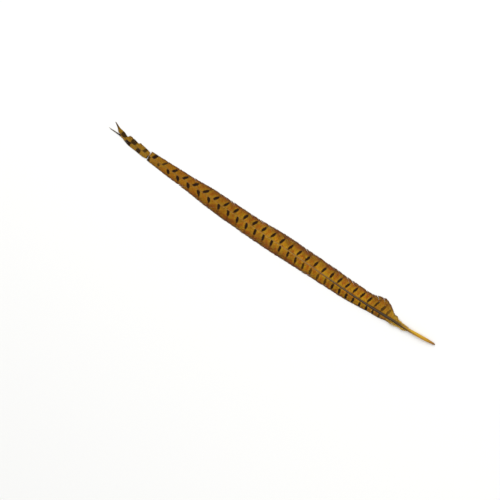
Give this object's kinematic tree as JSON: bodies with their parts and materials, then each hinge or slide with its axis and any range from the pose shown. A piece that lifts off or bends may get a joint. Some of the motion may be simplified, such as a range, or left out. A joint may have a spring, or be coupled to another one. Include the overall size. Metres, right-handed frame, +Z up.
{
  "type": "pheasant tail feather",
  "caption": "Long tapering ring-necked pheasant tail feather, dyed gold with dark bars, bare quill, downy base and split tip, lying flat.",
  "frame": {"origin": "bottom centre of the whole feather, on the surface that it lies on", "axes": "+X along the shaft from the quill's end to the tip, +Y to the feather's left across the webs, +Z up out of its upper side"},
  "size_m": [0.5001, 0.0317, 0.0068],
  "materials": {
    "shaft": "smooth horn-like keratin, dyed amber at the quill and dark brown along the rachis",
    "web": "soft overlapping barbs, dyed gold with dark bars and brown edges",
    "down": "loose fluffy barbs, dyed gold"
  },
  "bodies": {
    "root": {"shaft": "shaft", "left_vane": "web", "right_vane": "web", "left_vane_tip": "web", "right_vane_tip": "web", "left_down": "down", "right_down": "down"}
  },
  "joints": []
}
